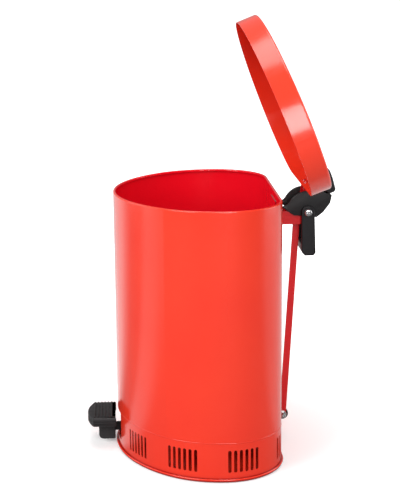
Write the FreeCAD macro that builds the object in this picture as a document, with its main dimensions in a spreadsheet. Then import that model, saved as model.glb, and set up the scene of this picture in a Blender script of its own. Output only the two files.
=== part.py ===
import FreeCAD, Part
import math
import os
import re
import Sketcher
from FreeCAD import Placement, Rotation, Vector

# Pedal bin with a D-shaped can: rounded front, flat back, hinged lid, rear carry handle.
# Frame: millimetres, +Z up, -Y the front (pedal side), +Y the rear (hinge side).
# The origin lies on the floor below the middle of the can's widest section.
# The lid stands open, the pedal is pressed down and the handle hangs: that is the rest pose.

SIZES = [
    # can
    ("can_half_width", 200), ("can_front_depth", 170), ("can_rear_depth", 94),
    ("can_height", 430), ("can_wall", 1), ("rim_bead_width", 4), ("rim_bead_height", 4),
    ("rim_bead_round", 1.8),
    # base and raised floor
    ("base_overhang", 2), ("base_ring_height", 5), ("base_thickness", 1.2), ("base_round", 1.6),
    ("seam_gap", 0.1), ("floor_level", 64.5), ("floor_thickness", 1.2), ("floor_flange", 12),
    # vent slots and cut-outs
    ("slot_width", 5.2), ("slot_height", 36.5), ("slot_bottom", 15.5), ("slot_pitch", 9.2),
    ("slots_in_group", 6), ("slot_groups", 4), ("slot_group_first", 116), ("slot_group_spacing", 100),
    ("pedal_opening_half_width", 44), ("pedal_opening_bottom", 15), ("pedal_opening_top", 63.5),
    ("lever_opening_half_width", 8), ("lever_opening_bottom", 8), ("lever_opening_top", 56),
    ("opening_round", 5),
    # hinge line, behind the flat back and below the rim
    ("hinge_behind_wall", 52), ("hinge_below_rim", 37.5), ("lid_opening", 68.4),
    ("axle_radius", 4), ("running_gap", 0.06), ("press_gap", 0.02), ("bush_wall", 2),
    # hinge bracket
    ("ear_outer", 22), ("ear_thickness", 3), ("ear_round", 12), ("ear_drop", 20.5),
    ("ear_rise", 1.5), ("ear_slope_start", 18), ("ear_foot_depth", 38),
    ("spacer_wall", 4), ("bracket_plate_half_width", 32), ("bracket_plate_below_rim", 18), ("bracket_plate_height", 90),
    ("bracket_plate_thickness", 2), ("rivet_radius", 2.5), ("rivet_head_radius", 4.5),
    ("rivet_head_height", 1.6), ("rivet_edge", 9),
    # hinge housing
    ("housing_half_width", 26), ("housing_wall", 2.5), ("drum_radius", 35), ("housing_reach", 39.5),
    ("housing_rise", 27), ("housing_drop", 9), ("housing_lug", 41),
    # lid
    ("lid_overhang", 9), ("lid_wall", 1), ("lid_skirt_height", 34), ("lid_rest_gap", 0.3),
    ("plateau_inset", 26), ("plateau_height", 2.5), ("plateau_round", 2), ("lid_edge_round", 3.5),
    ("buffer_height", 3), ("buffer_radius", 6), ("buffer_front_place", 150), ("buffer_side_place", 330),
    # hood on the lid
    ("hood_half_width", 30), ("hood_wall", 2.5), ("hood_inner_radius", 45.5),
    ("hood_length", 49.5), ("hood_rise", 16),
    # lid arm and push rod
    ("arm_outer", 16), ("arm_thickness", 3), ("arm_round", 10), ("arm_plate_thickness", 2),
    ("crank_radius", 16.5), ("crank_angle", 150), ("crank_pin_radius", 3), ("crank_lobe_radius", 7),
    ("crank_pin_head", 1.5), ("lid_rivet_margin", 6.3), ("lid_rivet_inset", 5.4),
    ("rod_width", 11), ("rod_thickness", 4), ("rod_side", 3.2), ("rod_eye_radius", 7),
    # pedal and lever
    ("lever_pivot_forward", 8), ("lever_pivot_height", 33), ("lever_thickness", 5),
    ("lever_depth", 14), ("lever_end_behind_wall", 15), ("lever_end_height", 39),
    ("lever_front_height", 24), ("lever_end_round", 10), ("bolt_radius", 3),
    ("slot_play_along", 3.8), ("slot_play_across", 1), ("bolt_end", 7), ("washer_thickness", 1),
    ("pad_half_width", 41), ("pad_depth", 45), ("pad_bottom", 38), ("pad_thickness", 16),
    ("pad_gap", 6.2), ("pad_front_bow", 9.4), ("pad_round", 6), ("pad_edge_round", 2),
    ("pad_wing_width", 10), ("pad_notch", 1.5), ("rib_height", 1.5), ("rib_pitch", 6), ("rib_width", 3),
    ("rib_side_margin", 4), ("block_half_width", 13), ("block_front_inset", 18.5),
    ("block_rear_gap", 5), ("block_bottom", 6.5), ("block_round", 8),
    ("pedal_bolt_radius", 2), ("pedal_bolt_head", 2), ("lever_inset", 4),
    ("lever_axle_radius", 4), ("lever_axle_end", 3), ("clip_width", 2.5), ("clip_thickness", 1),
    ("lever_bracket_inner", 6), ("lever_bracket_thickness", 3),
    ("lever_bracket_length", 28), ("lever_bracket_round", 10), ("lever_bracket_foot", 12),
    # carry handle
    ("handle_half_width", 32), ("handle_arm_thickness", 5), ("handle_arm_width", 22),
    ("handle_drop", 71.5), ("grip_thickness", 17), ("grip_front", 10), ("grip_rear", 13),
    ("screw_head_radius", 6), ("screw_head_height", 3.4), ("screw_radius", 2.5),
    ("screw_length", 12), ("side_gap", 0.3),
]

doc = FreeCAD.newDocument("PedalBin")
sheet = doc.addObject("Spreadsheet::Sheet", "Sizes")
for row, (alias, number) in enumerate(SIZES, start=1):
    sheet.set("A%d" % row, alias)
    sheet.set("B%d" % row, str(number))
    sheet.setAlias("B%d" % row, alias)
doc.recompute()

ALIASES = {alias for alias, number in SIZES}

# Places that several pieces share, as formulas of the sheet's aliases.
HINGE_Y = "(can_rear_depth + hinge_behind_wall)"
HINGE_Z = "(can_height - hinge_below_rim)"
LID_TOP = "(can_height + lid_rest_gap + buffer_height + lid_wall)"
LID_BOTTOM = "(can_height + lid_rest_gap + buffer_height + lid_wall - lid_skirt_height)"
LID_BACK = "(can_rear_depth + lid_overhang)"
PIVOT_Y = "(0 - lever_pivot_forward)"
LEVER_END_Y = "(can_rear_depth + lever_end_behind_wall)"
ARM_LOW = "(%s + 3)" % LID_BOTTOM
ARM_HIGH = "(%s - lid_edge_round)" % LID_TOP
PAD_FRONT = "(0 - can_front_depth - pad_gap - pad_depth)"
PAD_TOP = "(pad_bottom + pad_thickness)"
PEDAL_BOLTS = ("(%s + block_front_inset + 9)" % PAD_FRONT, "(%s + block_front_inset + 20)" % PAD_FRONT)
BRACKET_FACE = "(can_rear_depth + bracket_plate_thickness)"
BRACKET_TOP = "(can_height - bracket_plate_below_rim)"
BRACKET_BOTTOM = "(can_height - bracket_plate_below_rim - bracket_plate_height)"
PIN_OPEN_Y = "(%s + crank_radius * cos(crank_angle))" % HINGE_Y
PIN_OPEN_Z = "(%s + crank_radius * sin(crank_angle))" % HINGE_Z
PIN_CLOSED_Y = "(%s + crank_radius * cos(crank_angle + lid_opening))" % HINGE_Y
PIN_CLOSED_Z = "(%s + crank_radius * sin(crank_angle + lid_opening))" % HINGE_Z


def bound(formula):
    """The formula with each alias written as a reference to the sheet."""
    def named(word):
        return "Sizes." + word[0] if word[0] in ALIASES else word[0]
    return re.sub(r"[a-z_]+", named, formula)


def value(formula):
    """The number that a formula of aliases gives."""
    result = sheet.evalExpression(formula)
    return float(getattr(result, "Value", result))


def size(alias):
    return float(getattr(sheet, alias))


# ---------------------------------------------------------------- building blocks

NODES = []


def keep(thing, label):
    """Names a sub-part and lists it for export."""
    thing.Label = label
    NODES.append(thing)
    return thing


def new_body(label):
    body = doc.addObject("PartDesign::Body", label)
    return keep(body, label)


def new_sketch(body, role, offset="0"):
    """A sketch on one of the body's own origin planes, moved along its normal."""
    plane = next(item for item in body.Origin.OriginFeatures if item.Role == role)
    sketch = body.newObject("Sketcher::SketchObject", "Sketch")
    sketch.AttachmentSupport = [(plane, "")]
    sketch.MapMode = "FlatFace"
    sketch.setExpression("AttachmentOffset.Base.z", bound(offset))
    return sketch


def drive(sketch, constraint, formula):
    """Adds a dimension and binds it to the sheet."""
    index = sketch.addConstraint(constraint)
    sketch.setExpression("Constraints[%d]" % index, bound(formula))


def place_point(sketch, item, end, across, up):
    drive(sketch, Sketcher.Constraint("DistanceX", -1, 1, item, end, value(across)), across)
    drive(sketch, Sketcher.Constraint("DistanceY", -1, 1, item, end, value(up)), up)


def draw_polygon(sketch, corners):
    """A closed outline of straight lines through corners given as pairs of formulas."""
    points = [Vector(value(across), value(up), 0) for across, up in corners]
    lines = []
    for start, end in zip(points, points[1:] + points[:1]):
        lines.append(sketch.addGeometry(Part.LineSegment(start, end), False))
    for line, following in zip(lines, lines[1:] + lines[:1]):
        sketch.addConstraint(Sketcher.Constraint("Coincident", line, 2, following, 1))
    for line, (across, up) in zip(lines, corners):
        place_point(sketch, line, 1, across, up)


def draw_box(sketch, left, bottom, right, top):
    draw_polygon(sketch, [(left, bottom), (right, bottom), (right, top), (left, top)])


def draw_circle(sketch, across, up, radius):
    centre = Vector(value(across), value(up), 0)
    circle = sketch.addGeometry(Part.Circle(centre, Vector(0, 0, 1), value(radius)), False)
    place_point(sketch, circle, 3, across, up)
    drive(sketch, Sketcher.Constraint("Radius", circle, value(radius)), radius)


def draw_bowed_box(sketch, half, front, bow, back):
    """A box in plan about the Y axis, whose front edge bows forward as an arc."""
    w, f, s, b = value(half), value(front), value(bow), value(back)
    radius = (w ** 2 + s ** 2) / (2 * s)
    lean = math.asin(w / radius)
    circle = Part.Circle(Vector(0, f + radius, 0), Vector(0, 0, 1), radius)
    corners = [Vector(w, f + s, 0), Vector(w, b, 0), Vector(-w, b, 0), Vector(-w, f + s, 0)]
    curves = [Part.LineSegment(start, end) for start, end in zip(corners, corners[1:])]
    curves.append(Part.ArcOfCircle(circle, 1.5 * math.pi - lean, 1.5 * math.pi + lean))
    items = [sketch.addGeometry(curve, False) for curve in curves]
    for item, following in zip(items, items[1:] + items[:1]):
        sketch.addConstraint(Sketcher.Constraint("Coincident", item, 2, following, 1))
    shoulder = "%s + %s" % (front, bow)
    place_point(sketch, items[0], 1, half, shoulder)
    place_point(sketch, items[1], 1, half, back)
    place_point(sketch, items[2], 1, "0 - " + half, back)
    place_point(sketch, items[3], 1, "0 - " + half, shoulder)
    bulge = "(%s^2 + %s^2) / (2 * %s)" % (half, bow, bow)
    drive(sketch, Sketcher.Constraint("Radius", items[3], radius), bulge)


def draw_plan(sketch, inset):
    """The can's D outline: flat back, quarter-round rear corners, sides and front of two arcs."""
    half = "(can_half_width - (%s))" % inset
    rear = "(can_rear_depth - (%s))" % inset
    side = "(can_front_depth^2 / can_half_width - (%s))" % inset
    front = ("(((can_half_width - can_front_depth^2 / can_half_width)^2 + can_front_depth^2"
             " - (can_front_depth^2 / can_half_width)^2)"
             " / (2 * (can_front_depth - can_front_depth^2 / can_half_width)) - (%s))" % inset)
    w, r, s, f = value(half), value(rear), value(side), value(front)
    side_centre = w - s
    corner_centre = w - r
    front_centre = f - (size("can_front_depth") - value(inset))
    turn = math.atan2(-front_centre, side_centre)
    if side_centre < 0:
        turn = math.atan2(front_centre, -side_centre)
    up = Vector(0, 0, 1)

    def arc(across, along, radius, start, end):
        circle = Part.Circle(Vector(across, along, 0), up, radius)
        return Part.ArcOfCircle(circle, start, end)

    curves = [
        Part.LineSegment(Vector(corner_centre, r, 0), Vector(-corner_centre, r, 0)),
        arc(-corner_centre, 0, r, math.pi / 2, math.pi),
        arc(-side_centre, 0, s, math.pi, math.pi - turn),
        arc(0, front_centre, f, math.pi - turn, 2 * math.pi + turn),
        arc(side_centre, 0, s, 2 * math.pi + turn, 2 * math.pi),
        arc(corner_centre, 0, r, 0, math.pi / 2),
    ]
    items = [sketch.addGeometry(curve, False) for curve in curves]
    for item, following in zip(items, items[1:] + items[:1]):
        sketch.addConstraint(Sketcher.Constraint("Tangent", item, 2, following, 1))
    for on_centre_line in (1, 2, 4, 5):
        sketch.addConstraint(Sketcher.Constraint("PointOnObject", items[on_centre_line], 3, -1))
    sketch.addConstraint(Sketcher.Constraint("PointOnObject", items[3], 3, -2))
    sketch.addConstraint(Sketcher.Constraint("Horizontal", items[0]))
    drive(sketch, Sketcher.Constraint("DistanceX", -1, 1, items[5], 1, w), half)
    drive(sketch, Sketcher.Constraint("DistanceX", items[2], 1, -1, 1, w), half)
    drive(sketch, Sketcher.Constraint("DistanceY", -1, 1, items[0], 1, r), rear)
    drive(sketch, Sketcher.Constraint("Radius", items[4], s), side)
    drive(sketch, Sketcher.Constraint("Radius", items[3], f), front)


def pad(body, sketch, length):
    feature = body.newObject("PartDesign::Pad", "Pad")
    feature.Profile = sketch
    feature.setExpression("Length", bound(length))
    doc.recompute()
    return feature


def pocket(body, sketch, length):
    """Cuts from the sketch along its normal, and makes sure that something went."""
    before = body.Shape.Volume
    feature = body.newObject("PartDesign::Pocket", "Pocket")
    feature.Profile = sketch
    feature.Reversed = True
    feature.setExpression("Length", bound(length))
    doc.recompute()
    if body.Shape.Volume > before - 1e-6:
        raise RuntimeError("%s: a pocket cut nothing" % body.Label)
    return feature


def turn(body, sketch, axis="V_Axis"):
    feature = body.newObject("PartDesign::Revolution", "Revolution")
    feature.Profile = sketch
    feature.ReferenceAxis = (sketch, [axis])
    feature.Angle = 360
    doc.recompute()
    return feature


def round_edges(body, chosen, radius):
    """Fillets the edges that the test picks on the body's last feature."""
    base = body.Tip
    names = ["Edge%d" % (i + 1) for i, edge in enumerate(base.Shape.Edges) if chosen(edge)]
    if not names:
        raise RuntimeError("%s: no edge to round" % body.Label)
    feature = body.newObject("PartDesign::Fillet", "Fillet")
    feature.Base = (base, names)
    feature.setExpression("Radius", bound(radius))
    doc.recompute()
    return feature


def middle(edge):
    return edge.valueAt((edge.FirstParameter + edge.LastParameter) / 2)


def level(height):
    """Picks edges that lie flat at one height."""
    wanted = value(height)
    return lambda edge: abs(edge.BoundBox.ZMin - wanted) < 0.01 and abs(edge.BoundBox.ZMax - wanted) < 0.01


def along_x(edge):
    return edge.BoundBox.XLength > 0.5 and edge.BoundBox.YLength < 0.01 and edge.BoundBox.ZLength < 0.01


def along_x_near(places):
    """Picks edges along X that pass through given (y, z) formula pairs."""
    spots = [(value(y), value(z)) for y, z in places]

    def test(edge):
        if not along_x(edge):
            return False
        centre = middle(edge)
        return any(math.hypot(centre.y - y, centre.z - z) < 0.05 for y, z in spots)
    return test


LIFT = Placement(Vector(0, 0, 0), Rotation(Vector(1, 0, 0), -size("lid_opening")),
                 Vector(0, value(HINGE_Y), value(HINGE_Z)))


def lift(thing):
    """Turns a piece drawn on the closed lid to the lid's open place."""
    thing.Placement = LIFT.multiply(thing.Placement)


def along_axis(thing, x, y, z):
    """Turns a piece drawn about Z so that its +Z runs along +X from a point."""
    thing.Placement = Placement(Vector(value(x), value(y), value(z)), Rotation(Vector(0, 1, 0), 90))


def turned_body(label, profile):
    """A round piece: profile of (radius, height) formulas turned about Z."""
    body = new_body(label)
    sketch = new_sketch(body, "XZ_Plane")
    draw_polygon(sketch, profile)
    turn(body, sketch)
    return body


def group(label, pattern, places):
    """Separate copies of one piece, kept together in one node."""
    doc.recompute()
    shape = Part.makeCompound([pattern.Shape.transformed(p.toMatrix()) for p in places])
    thing = doc.addObject("Part::Feature", label)
    thing.Shape = shape
    NODES.remove(pattern)
    pattern.Label = label + "_pattern"
    return keep(thing, label)


def tube_profile(inner, outer, low, high):
    return [(inner, low), (outer, low), (outer, high), (inner, high)]


# ---------------------------------------------------------------- can and base

def plan_point(distance):
    """Point and outward direction on the can's outline, at a distance from the front middle."""
    half, front, rear = size("can_half_width"), size("can_front_depth"), size("can_rear_depth")
    side_radius = front ** 2 / half
    side_centre = half - side_radius
    front_radius = (side_centre ** 2 + front ** 2 - side_radius ** 2) / (2 * (front - side_radius))
    front_centre = front_radius - front
    sweep = abs(math.atan2(side_centre, front_centre))
    if side_centre < 0:
        sweep = abs(math.atan2(-side_centre, -front_centre))
    sign = 1 if distance >= 0 else -1
    left = abs(distance)
    if left < front_radius * sweep:
        angle = left / front_radius
        centre, radius = Vector(0, front_centre, 0), front_radius
    else:
        left -= front_radius * sweep
        if left < side_radius * (math.pi / 2 - sweep):
            angle = sweep + left / side_radius
            centre, radius = Vector(sign * side_centre, 0, 0), side_radius
        else:
            left -= side_radius * (math.pi / 2 - sweep)
            angle = min(math.pi / 2 + left / rear, math.pi)
            centre, radius = Vector(sign * (half - rear), 0, 0), rear
            over = max(0, left - rear * math.pi / 2)
            centre.x -= sign * over
    outward = Vector(sign * math.sin(angle), -math.cos(angle), 0)
    return centre + outward * radius, outward


def slot_cutter(distance):
    """A bar with rounded ends that cuts one vent slot through the wall."""
    point, outward = plan_point(distance)
    width, height = size("slot_width"), size("slot_height")
    reach = 4 * size("can_wall")
    bar = Part.makeBox(width, 2 * reach, height - width, Vector(-width / 2, -reach, width / 2))
    for end in (width / 2, height - width / 2):
        bar = bar.fuse(Part.makeCylinder(width / 2, 2 * reach, Vector(0, -reach, end), Vector(0, 1, 0)))
    bar = bar.removeSplitter()
    angle = math.degrees(math.atan2(outward.y, outward.x)) - 90
    bar.rotate(Vector(0, 0, 0), Vector(0, 0, 1), angle)
    bar.translate(Vector(point.x, point.y, size("slot_bottom")))
    return bar


def opening_cutter(half_width, bottom, top, near, far):
    """A bar along Y with rounded corners that cuts a window in the front or back wall."""
    tall = value(top) - value(bottom)
    half = value(half_width)
    bar = Part.makeBox(2 * half, far - near, tall, Vector(-half, near, value(bottom)))
    corners = [edge for edge in bar.Edges if edge.BoundBox.YLength > 1
               and edge.BoundBox.XLength < 0.01 and edge.BoundBox.ZLength < 0.01]
    return bar.makeFillet(min(size("opening_round"), tall / 3), corners)


def make_can():
    wall = doc.addObject("PartDesign::Body", "can_wall_body")
    sketch = new_sketch(wall, "XY_Plane", "base_thickness")
    draw_plan(sketch, "0")
    draw_plan(sketch, "can_wall")
    pad(wall, sketch, "can_height - base_thickness - rim_bead_height / 2")
    bead = new_sketch(wall, "XY_Plane", "can_height - rim_bead_height")
    draw_plan(bead, "0")
    draw_plan(bead, "rim_bead_width")
    pad(wall, bead, "rim_bead_height")
    round_edges(wall, level("can_height"), "rim_bead_round")

    cutters = doc.addObject("Part::Feature", "can_openings")
    pieces = []
    in_group = int(size("slots_in_group"))
    for number in range(int(size("slot_groups"))):
        for count in range(in_group):
            place = size("slot_group_first") + number * size("slot_group_spacing")
            place += (count - (in_group - 1) / 2) * size("slot_pitch")
            pieces.append(slot_cutter(place))
            pieces.append(slot_cutter(-place))
    front, back = size("can_front_depth"), size("can_rear_depth")
    reach = 10 * size("can_wall")
    pieces.append(opening_cutter("pedal_opening_half_width", "pedal_opening_bottom",
                                 "pedal_opening_top", -front - reach, -front * 0.8))
    pieces.append(opening_cutter("lever_opening_half_width", "lever_opening_bottom",
                                 "lever_opening_top", back - reach, back + reach))
    cutters.Shape = Part.makeCompound(pieces)
    can = doc.addObject("Part::Cut", "can_shell")
    can.Base = wall
    can.Tool = cutters
    return keep(can, "can_shell")


def make_base_pan():
    body = new_body("base_pan")
    sketch = new_sketch(body, "XY_Plane")
    draw_plan(sketch, "0 - base_overhang")
    pad(body, sketch, "base_ring_height")
    well = new_sketch(body, "XY_Plane", "base_thickness")
    draw_plan(well, "0 - seam_gap")
    pocket(body, well, "base_ring_height")
    round_edges(body, lambda e: level("0")(e) or (level("base_ring_height")(e) and far_out(e)),
                "base_round")


def far_out(edge):
    """Tells the outer edges of the base ring's top from the inner ones."""
    box = edge.BoundBox
    reach = max(abs(box.XMin), abs(box.XMax))
    return (reach > size("can_half_width") + size("seam_gap") + 0.5
            or box.YMin < -size("can_front_depth") - size("seam_gap") - 0.5
            or box.YMax > size("can_rear_depth") + size("seam_gap") + 0.5)


def make_raised_floor():
    body = new_body("raised_floor")
    sketch = new_sketch(body, "XY_Plane", "floor_level")
    draw_plan(sketch, "can_wall + seam_gap")
    pad(body, sketch, "floor_thickness + floor_flange")
    well = new_sketch(body, "XY_Plane", "floor_level + floor_thickness")
    draw_plan(well, "can_wall + seam_gap + floor_thickness")
    pocket(body, well, "floor_flange + floor_thickness")


# ---------------------------------------------------------------- hinge

def make_hinge_bracket():
    body = new_body("hinge_bracket")
    plate = new_sketch(body, "YZ_Plane", "0 - bracket_plate_half_width")
    draw_box(plate, "can_rear_depth", BRACKET_BOTTOM, BRACKET_FACE, BRACKET_TOP)
    pad(body, plate, "2 * bracket_plate_half_width")
    y, z = HINGE_Y, HINGE_Z
    ears = new_sketch(body, "YZ_Plane", "0 - ear_outer")
    draw_polygon(ears, [
        (BRACKET_FACE + " - bracket_plate_thickness / 2", z + " - ear_drop"),
        (BRACKET_FACE + " + ear_foot_depth", z + " - ear_drop"),
        (y + " + ear_round * 0.64", z + " - ear_round * 0.77"),
        (y, z),
        (y + " - ear_round * 0.29", z + " + ear_round * 0.957"),
        (BRACKET_FACE + " + ear_slope_start", z + " + ear_rise"),
        (BRACKET_FACE + " - bracket_plate_thickness / 2", z + " + ear_rise"),
    ])
    pad(body, ears, "2 * ear_outer")
    boss = new_sketch(body, "YZ_Plane", "0 - ear_outer")
    draw_circle(boss, y, z, "ear_round")
    pad(body, boss, "2 * ear_outer")
    gap = new_sketch(body, "YZ_Plane", "ear_thickness - ear_outer")
    draw_box(gap, BRACKET_FACE, z + " - 2 * ear_drop", y + " + 2 * ear_round", z + " + 2 * ear_round")
    pocket(body, gap, "2 * (ear_outer - ear_thickness)")
    bore = new_sketch(body, "YZ_Plane", "0 - ear_outer - 1")
    draw_circle(bore, y, z, "axle_radius + press_gap")
    pocket(body, bore, "2 * ear_outer + 2")
    for x in (-1, 1):
        for height in (BRACKET_BOTTOM + " + rivet_edge", BRACKET_TOP + " - rivet_edge"):
            hole = new_sketch(body, "XZ_Plane", "0 - " + BRACKET_FACE + " - 1")
            draw_circle(hole, "%d * (bracket_plate_half_width - rivet_edge)" % x, height,
                        "rivet_radius + press_gap")
            pocket(body, hole, "bracket_plate_thickness + 2")


def make_rivets():
    """Blind rivets that hold the hinge bracket, seated on its plate."""
    rivet = turned_body("bracket_rivets", [
        ("0", "0"), ("rivet_radius", "0"), ("rivet_radius", "bracket_plate_thickness"),
        ("rivet_head_radius", "bracket_plate_thickness"),
        ("rivet_head_radius * 0.75", "bracket_plate_thickness + rivet_head_height"),
        ("0", "bracket_plate_thickness + rivet_head_height")])
    places = []
    across = size("bracket_plate_half_width") - size("rivet_edge")
    for x in (-across, across):
        for z in (value(BRACKET_BOTTOM + " + rivet_edge"), value(BRACKET_TOP + " - rivet_edge")):
            places.append(Placement(Vector(x, size("can_rear_depth"), z), Rotation(Vector(1, 0, 0), -90)))
    group("bracket_rivets", rivet, places)


def make_backing_plate():
    """The stiffening plate that the rivets clamp on the inside of the back wall."""
    body = new_body("backing_plate")
    inside = "(can_rear_depth - can_wall)"
    sketch = new_sketch(body, "YZ_Plane", "0 - bracket_plate_half_width")
    draw_box(sketch, inside + " - base_thickness", BRACKET_BOTTOM, inside, BRACKET_TOP)
    pad(body, sketch, "2 * bracket_plate_half_width")


def make_hinge_axle():
    end = "(handle_half_width + side_gap)"
    axle = turned_body("hinge_axle", [
        ("0", "0"), ("axle_radius", "0"), ("axle_radius", "2 * " + end), ("0", "2 * " + end)])
    for start in ("0", "2 * %s - screw_length" % end):
        bore = new_sketch(axle, "XY_Plane", start)
        draw_circle(bore, "0", "0", "screw_radius + press_gap")
        pocket(axle, bore, "screw_length")
    along_axis(axle, "0 - " + end, HINGE_Y, HINGE_Z)


def make_arm_bushes():
    bush = turned_body("lid_bushes", [
        ("axle_radius + running_gap", "0"), ("axle_radius + bush_wall", "0"),
        ("axle_radius + bush_wall", "arm_thickness"),
        ("axle_radius + running_gap", "arm_thickness")])
    y, z = value(HINGE_Y), value(HINGE_Z)
    inner = size("arm_outer") - size("arm_thickness")
    places = [Placement(Vector(x, y, z), Rotation(Vector(0, 1, 0), 90))
              for x in (-size("arm_outer"), inner)]
    group("lid_bushes", bush, places)


def make_axle_spacers():
    """Washers that keep the lid arm centred between the bracket's ears."""
    gap = "(ear_outer - ear_thickness - arm_outer - side_gap)"
    spacer = turned_body("axle_spacers", tube_profile(
        "axle_radius + running_gap", "axle_radius + spacer_wall", "0", gap))
    y, z = value(HINGE_Y), value(HINGE_Z)
    start = value("ear_outer - ear_thickness") - value(gap)
    places = [Placement(Vector(x, y, z), Rotation(Vector(0, 1, 0), 90))
              for x in (start, -value("ear_outer - ear_thickness"))]
    group("axle_spacers", spacer, places)


def housing_outline():
    """The housing's side view, as corners about the hinge line."""
    y, z = HINGE_Y, HINGE_Z
    drum = [(y + " + drum_radius * %.3f" % math.cos(math.radians(a)),
             z + " + drum_radius * %.3f" % math.sin(math.radians(a))) for a in range(85, 155, 17)]
    return [
        (y + " - drum_radius * 0.63", z + " - housing_drop * 0.55"),
        (y + " + housing_reach * 0.37", z + " - housing_drop"),
        (y + " + housing_reach * 0.65", z + " - housing_drop * 0.05"),
        (y + " + housing_reach * 0.93", z + " + housing_rise * 0.53"),
        (y + " + housing_reach", z + " + housing_rise"),
        (y + " + housing_reach * 0.88", z + " + housing_rise * 1.08"),
        (y + " + housing_reach * 0.45", z + " + housing_rise * 1.35"),
    ] + drum + [
        (y + " - drum_radius * 0.985", z + " + housing_rise * 0.46"),
        (y + " - housing_lug", z + " + housing_rise * 0.38"),
        (y + " - housing_lug", z + " + housing_rise * 0.28"),
    ]


def make_hinge_housing():
    body = new_body("hinge_housing")
    sketch = new_sketch(body, "YZ_Plane", "0 - housing_half_width")
    draw_polygon(sketch, housing_outline())
    pad(body, sketch, "2 * housing_half_width")
    y, z = HINGE_Y, HINGE_Z
    inside = new_sketch(body, "YZ_Plane", "housing_wall - housing_half_width")
    draw_polygon(inside, [
        (y + " - 2 * drum_radius", z + " - 3 * housing_drop"),
        (y + " + housing_reach * 0.37 - housing_wall", z + " - 3 * housing_drop"),
        (y + " + housing_reach * 0.37 - housing_wall", z + " - housing_drop * 0.5"),
        (y + " + housing_reach * 0.65 - housing_wall * 1.2", z + " + housing_wall * 0.6"),
        (y + " + housing_reach * 0.93 - housing_wall", z + " + housing_rise * 0.53 + housing_wall * 0.4"),
        (y + " + housing_reach - housing_wall", z + " + housing_rise"),
        (y + " + housing_reach - housing_wall", z + " + 2 * drum_radius"),
        (y + " - 2 * drum_radius", z + " + 2 * drum_radius"),
    ])
    pocket(body, inside, "2 * (housing_half_width - housing_wall)")
    bore = new_sketch(body, "YZ_Plane", "0 - housing_half_width - 1")
    draw_circle(bore, y, z, "axle_radius + press_gap")
    pocket(body, bore, "2 * housing_half_width + 2")


# ---------------------------------------------------------------- lid

def arm_rivet_spots():
    """Where the rivets go that hold the arm's plate to the lid's back, as (x, z) formulas."""
    return [("%d * (arm_outer - lid_rivet_margin)" % x, height) for x in (-1, 1)
            for height in (ARM_LOW + " + lid_rivet_inset", ARM_HIGH + " - lid_rivet_inset")]


def cut_arm_rivet_holes(body, face, thickness):
    for x, height in arm_rivet_spots():
        hole = new_sketch(body, "XZ_Plane", "0 - %s - 1" % face)
        draw_circle(hole, x, height, "rivet_radius + press_gap")
        pocket(body, hole, thickness + " + 2")


def make_lid():
    body = new_body("lid_shell")
    outer = "(0 - lid_overhang)"
    skirt = new_sketch(body, "XY_Plane", LID_BOTTOM)
    draw_plan(skirt, outer)
    pad(body, skirt, "lid_skirt_height")
    raised = new_sketch(body, "XY_Plane", LID_TOP + " - lid_wall / 2")
    draw_plan(raised, outer + " + plateau_inset")
    pad(body, raised, "plateau_height + lid_wall / 2")
    inside = new_sketch(body, "XY_Plane", LID_BOTTOM)
    draw_plan(inside, outer + " + lid_wall")
    pocket(body, inside, "lid_skirt_height - lid_wall")
    dome = new_sketch(body, "XY_Plane", LID_BOTTOM)
    draw_plan(dome, outer + " + plateau_inset + 3 * lid_wall")
    pocket(body, dome, "lid_skirt_height + plateau_height - lid_wall")
    cut_arm_rivet_holes(body, LID_BACK, "lid_wall")
    under = LID_TOP + " - lid_wall"
    round_edges(body, lambda e: level(under)(e) and at_lid_edge(e), "lid_edge_round - lid_wall")
    round_edges(body, lambda e: level(LID_TOP)(e) and at_lid_edge(e), "lid_edge_round")
    round_edges(body, level(LID_TOP + " + plateau_height"), "plateau_round")
    lift(body)


def at_lid_edge(edge):
    box = edge.BoundBox
    overhang = size("lid_overhang") - size("lid_wall") - 0.5
    return (max(abs(box.XMin), abs(box.XMax)) > size("can_half_width") + overhang
            or box.YMin < -size("can_front_depth") - overhang
            or box.YMax > size("can_rear_depth") + overhang)


def make_lid_buffers():
    """Rubber buttons under the lid's shoulder that land on the rim."""
    button = turned_body("lid_buffers", [
        ("0", "0"), ("buffer_radius * 0.8", "0"), ("buffer_radius", "buffer_height * 0.35"),
        ("buffer_radius", "buffer_height"), ("0", "buffer_height")])
    low = value("can_height + lid_rest_gap")
    places = []
    front, side = size("buffer_front_place"), size("buffer_side_place")
    for distance in (-side, -front, front, side):
        point, outward = plan_point(distance)
        seat = point - outward * (size("rim_bead_width") / 2)
        places.append(LIFT.multiply(Placement(Vector(seat.x, seat.y, low), Rotation())))
    group("lid_buffers", button, places)


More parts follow.
